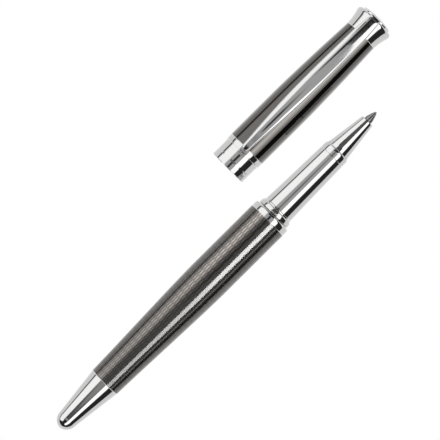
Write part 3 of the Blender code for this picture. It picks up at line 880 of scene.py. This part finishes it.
def makeClip():
    # a flat grid is laid over the cap's curve, then given its thickness and round edges
    bpy.ops.object.select_all(action="DESELECT")
    bpy.ops.mesh.primitive_grid_add(x_subdivisions=clip["rowsAlong"], y_subdivisions=clip["rowsAcross"],
                                    size=2)
    piece = bpy.context.object
    piece.name = piece.data.name = "clip_polished"
    keys = ("top", "halfWidth", "thickness", "crossRadius")
    top, widths, depths, bends = (smoothRun(clip[key], 6) for key in keys)
    start, end = clip["top"][0][0], clip["top"][-1][0]
    toEdit()
    bpy.ops.mesh.select_all(action="SELECT")
    bpy.ops.mesh.extrude_region_move()
    bpy.ops.transform.translate(value=(0, 0, 1))
    bpy.ops.mesh.select_all(action="SELECT")
    bpy.ops.mesh.normals_make_consistent(inside=False)
    toObject()
    for vert in piece.data.vertices:
        x = start + (end - start) * ((vert.co.x + 1) / 2) ** clip["crowding"]
        half = clipHalfWidth(widths, x)
        outer = valueAt(top, x)
        across = math.sin(vert.co.y * math.pi / 2) * half
        inward = max(0, abs(across) - (half - clip["round"])) / clip["round"]
        drop = clip["round"] * (1 - math.sqrt(max(0, 1 - inward * inward)))
        drop *= min(1, half / (2 * clip["round"]))
        sag = across * across / (2 * valueAt(bends, x))
        height = outer - sag - drop
        if vert.co.z <= 0.5:      # the underside follows the cap's curve, clear of its tube
            under = outer - valueAt(depths, x) - across * across / (2 * clip["underRadius"])
            height = min(under + drop * clip["underRound"], height - clip["edgeLeast"])
        y = across * math.cos(capRoll) + height * math.sin(capRoll)
        z = height * math.cos(capRoll) - across * math.sin(capRoll)
        vert.co = capAxis + Vector((x, y, z)) * mm
    return finishPiece(piece, "clip", capChrome, "chrome", "clip", angle=60)


def makeClipRing():
    rear, front, radius = clip["ringRear"], clip["ringFront"], clip["ringRadius"]
    hole, edge = clip["ringHole"], clip["ringEdge"]
    outline = [(rear, hole), (rear, radius, edge), (front, radius, edge), (front, hole)]
    piece = turnPiece("clip_ring_pressed", outline, capAxis, 96)
    foot, top = clip["tabFoot"], clip["tabTop"]
    middle = capAxis + Vector(((rear + front) / 2, math.sin(capRoll) * (foot + top) / 2,
                               math.cos(capRoll) * (foot + top) / 2)) * mm
    bpy.ops.object.select_all(action="DESELECT")
    bpy.ops.mesh.primitive_cube_add(size=mm, location=middle, rotation=(-capRoll, 0, 0))
    tab = bpy.context.object
    tab.scale = (front - rear, 2 * clip["tabHalfWidth"], top - foot)
    join = piece.modifiers.new("tab", "BOOLEAN")
    join.operation, join.solver, join.object = "UNION", "EXACT", tab
    onlySelect(piece)
    applyAll(piece)
    bpy.data.objects.remove(tab)
    return finishPiece(piece, "cap", capChrome, "chrome", "clip_ring")


print("clip")
makeClip()
makeClipRing()

# the light table, the lamps and cards, and the camera

table = {"left": 0.20, "right": -0.16, "end": 0.34, "glow": 1.0, "seen": 1.05, "reflected": 0.03}

# lamps stand on circles round the pen: angles lean from straight up towards the cap
lamps = [
    {"name": "side_lamp", "from": 26, "to": 81, "reach": 1.25, "ends": (-1.5, 1.5), "light": 1.5,
     "soft": 8},
    {"name": "strip_lamp", "from": -50, "to": -21.5, "reach": 1.0, "ends": (-1.5, 1.5), "light": 1.95,
     "soft": 4, "without": ["lined_cap_tube", "engraved_barrel", "barrel_lacquer"]},
    {"name": "barrel_strip", "from": -47, "to": -25, "reach": 1.02, "ends": (-0.32, 0.16), "light": 13.0,
     "soft": 0, "fade": 0.45, "only": ["barrel_lacquer"]},
    {"name": "cap_strip", "from": -52, "to": -20, "reach": 1.04, "ends": (-1.5, 1.5), "light": 4.3,
     "soft": 20, "only": ["lined_cap_tube"]},
    {"name": "line_lamp", "from": -69, "to": -63.5, "reach": 1.0, "ends": (-1.0, 1.0), "light": 1.6,
     "soft": 0, "only": ["barrel_lacquer"]},
    {"name": "low_strip", "from": -76, "to": -52, "reach": 1.06, "ends": (-1.5, 1.5), "light": 0.4,
     "soft": 0, "only": ["barrel_lacquer"]},
    {"name": "texture_lamp", "from": 36, "to": 62, "reach": 0.8, "ends": (-0.6, 0.6), "light": 7.0,
     "soft": 8, "fade": 0.0, "only": ["engraved_barrel"]},
]
lampStep = 0.003    # copies of a soft lamp stand this far apart
fadeFrom = -0.19    # a fading lamp is dimmest here, and full from the pen's middle on
card = {
    "height": 0.9, "right": -0.365, "left": 0.43, "tail": -0.36, "tip": 0.225, "corner": 0.09,
    "light": 0.56, "tailShare": 0.65,
    "hole": (0.05, 0.15), "holePlace": (0.01, 0.045), "holeShare": 0.04,
}
# low light past the ends of the card, and a bright wedge beside it
endCards = [
    (0.11, [(-0.44, -0.365), (-0.36, -0.365), (-0.36, 0.43), (-0.44, 0.43)]),
    (0.13, [(0.29, -0.14), (0.50, -0.20), (0.50, 0.43), (0.38, 0.43), (0.38, 0.58), (0.25, 0.58),
            (0.25, 0.43), (0.29, 0.43)]),
    (1.90, [(0.225, -0.365), (0.42, -0.365), (0.36, -0.255), (0.27, -0.11), (0.225, -0.05)]),
]


def glowing(name, light):
    material = bpy.data.materials.new(name)
    material.use_nodes = True
    tree = material.node_tree
    tree.nodes.remove(tree.nodes["Principled BSDF"])
    emission = tree.nodes.new("ShaderNodeEmission")
    emission.inputs["Color"].default_value = (1, 1, 1, 1)
    emission.inputs["Strength"].default_value = light
    tree.links.new(emission.outputs[0], tree.nodes["Material Output"].inputs["Surface"])
    return material


def makeFlat(name, corners, material):
    mesh = bpy.data.meshes.new(name)
    mesh.from_pydata([Vector(corner) for corner in corners], [], [list(range(len(corners)))])
    flat = bpy.data.objects.new(name, mesh)
    bpy.context.scene.collection.objects.link(flat)
    mesh.materials.append(material)
    return flat


def makeTable():
    left, right, end = table["left"], table["right"], table["end"]
    material = glowing("light_table", table["glow"])
    makeFlat("light_table", [(-end, right, 0), (end, right, 0), (end, left, 0), (-end, left, 0)], material)


def makeWorld():
    # pale where it is seen, dark where it is only reflected
    world = bpy.data.worlds.new("studio")
    bpy.context.scene.world = world
    world.use_nodes = True
    tree = world.node_tree
    seen = tree.nodes["Background"]
    seen.inputs["Color"].default_value = (1, 1, 1, 1)
    seen.inputs["Strength"].default_value = table["seen"]
    dark = tree.nodes.new("ShaderNodeBackground")
    dark.inputs["Color"].default_value = (1, 1, 1, 1)
    dark.inputs["Strength"].default_value = table["reflected"]
    path = tree.nodes.new("ShaderNodeLightPath")
    mix = tree.nodes.new("ShaderNodeMixShader")
    tree.links.new(path.outputs["Is Camera Ray"], mix.inputs["Fac"])
    tree.links.new(dark.outputs[0], mix.inputs[1])
    tree.links.new(seen.outputs[0], mix.inputs[2])
    tree.links.new(mix.outputs[0], tree.nodes["World Output"].inputs["Surface"])


def shareLight(lamp, names, state):
    # only, or all but, the named pieces take this lamp's light
    group = bpy.data.collections.new(lamp.name + "_pieces")
    for name in names:
        group.objects.link(bpy.data.objects[name])
    for entry in group.collection_objects:
        entry.light_linking.link_state = state
    lamp.light_linking.receiver_collection = group


def fadeLamp(data, least):
    # dimmer towards the tail
    data.use_nodes = True
    tree = data.node_tree
    place = tree.nodes.new("ShaderNodeNewGeometry")
    split = tree.nodes.new("ShaderNodeSeparateXYZ")
    tree.links.new(place.outputs["Position"], split.inputs[0])
    light = rangeNode(tree, split.outputs["X"], least, 1, fadeFrom, 0)
    tree.links.new(light, tree.nodes["Emission"].inputs["Strength"])


def makeLamps():
    for made in lamps:
        soft = made["soft"]
        shifts = (-1, 0, 1) if soft else (0,)
        for index, shift in enumerate(shifts):
            start = math.radians(made["from"] - shift * soft / 2)
            end = math.radians(made["to"] + shift * soft / 2)
            middle, reach = (start + end) / 2, made["reach"] + lampStep * index
            tail, tip = made["ends"]
            data = bpy.data.lights.new(made["name"], "AREA")
            data.shape = "RECTANGLE"
            data.size = tip - tail
            data.size_y = 2 * reach * math.tan((end - start) / 2)
            data.energy = made["light"] / len(shifts) * math.pi * data.size * data.size_y
            if "fade" in made:
                fadeLamp(data, made["fade"])
            lamp = bpy.data.objects.new(f"{made['name']}_{index}", data)
            bpy.context.scene.collection.objects.link(lamp)
            up = penAxis.z + reach * math.cos(middle)
            lamp.location = ((tail + tip) / 2, reach * math.sin(middle), up)
            lamp.rotation_euler = (-middle, 0, 0)
            lamp.visible_camera = False
            if "only" in made:
                shareLight(lamp, made["only"], "INCLUDE")
            if "without" in made:
                shareLight(lamp, made["without"], "EXCLUDE")


def makeCards():
    # a grey card overhead, darker round the lens and towards the tail
    height, right, left = card["height"], card["right"], card["left"]
    tail, tip, corner = card["tail"], card["tip"], card["corner"]
    material = glowing("grey_card", card["light"])
    tree = material.node_tree
    coords = tree.nodes.new("ShaderNodeTexCoord")
    far = tree.nodes.new("ShaderNodeVectorMath")
    far.operation = "DISTANCE"
    far.inputs[1].default_value = (*card["holePlace"], height)
    tree.links.new(coords.outputs["Object"], far.inputs[0])
    hole = rangeNode(tree, far.outputs["Value"], card["holeShare"], 1, *card["hole"])
    split = tree.nodes.new("ShaderNodeSeparateXYZ")
    tree.links.new(coords.outputs["Object"], split.inputs[0])
    slope = rangeNode(tree, split.outputs["X"], card["tailShare"], 1, tail, 0)
    light = mathNode(tree, "MULTIPLY", mathNode(tree, "MULTIPLY", hole, slope), card["light"])
    tree.links.new(light, tree.nodes["Emission"].inputs["Strength"])
    outline = [(tail, right), (tip, right), (tip, left / 2), (tip - corner, left), (tail, left)]
    makeFlat("grey_card", [(x, y, height) for x, y in outline], material).visible_camera = False
    for index, (light, outline) in enumerate(endCards):
        material = glowing(f"end_card_{index}", light)
        panel = makeFlat(f"end_card_{index}", [(x, y, height) for x, y in outline], material)
        panel.visible_camera = False


camera = {"distance": 0.87, "aim": (0.0007, 0.0003), "frameWidth": 0.1232, "turn": -44.82, "sensor": 36}


def makeCamera():
    data = bpy.data.cameras.new("camera")
    data.sensor_width = camera["sensor"]
    data.lens = camera["sensor"] * camera["distance"] / camera["frameWidth"]
    data.clip_start, data.clip_end = 0.05, 10
    seen = bpy.data.objects.new("camera", data)
    bpy.context.scene.collection.objects.link(seen)
    seen.location = (*camera["aim"], penAxis.z + camera["distance"])
    seen.rotation_euler = (0, 0, math.radians(camera["turn"]))
    bpy.context.scene.camera = seen


print("studio")
makeTable()
makeWorld()
makeLamps()
makeCards()
makeCamera()
# only the pen's rings, nose and tail cone are mirrored in other pieces
mirrored = ("barrel_collar_polished", "grip_collar_polished", "front_ring_polished", "nose_polished",
            "tail_cone_polished")
for piece in bpy.data.objects:
    if piece.get("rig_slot") and piece.name not in mirrored:
        piece.visible_glossy = False
bpy.context.scene.view_settings.view_transform = "Standard"
